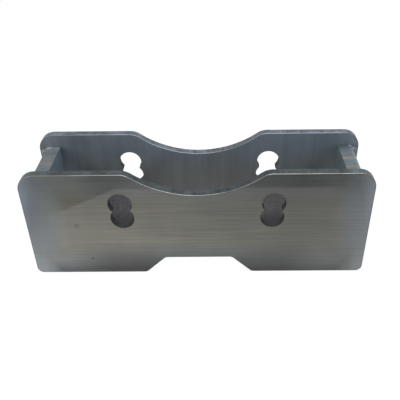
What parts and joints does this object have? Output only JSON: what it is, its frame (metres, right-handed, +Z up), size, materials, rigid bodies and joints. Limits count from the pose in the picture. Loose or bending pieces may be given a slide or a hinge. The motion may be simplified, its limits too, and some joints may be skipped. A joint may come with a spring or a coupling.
{
  "type": "axle hanger",
  "caption": "Welded steel axle hanger: like side plates with a round axle saddle on top, a foot notch below and figure-eight bolt holes, held apart by thicker end plates.",
  "frame": {"origin": "middle of the footprint, on the surface that the feet stand on", "axes": "+X along the side plates, +Y from the front side plate to the rear one, +Z up towards the saddle"},
  "size_m": [0.2286, 0.0628, 0.079],
  "materials": {
    "side_plate_steel": "bare rolled steel, brushed lengthways",
    "end_plate_steel": "bare sawn steel",
    "weld_metal": "rippled as-laid weld"
  },
  "bodies": {
    "root": {"front_side_plate": "side_plate_steel", "rear_side_plate": "side_plate_steel", "left_end_plate": "end_plate_steel", "right_end_plate": "end_plate_steel", "front_left_weld": "weld_metal", "front_right_weld": "weld_metal", "rear_left_weld": "weld_metal", "rear_right_weld": "weld_metal"}
  },
  "joints": []
}
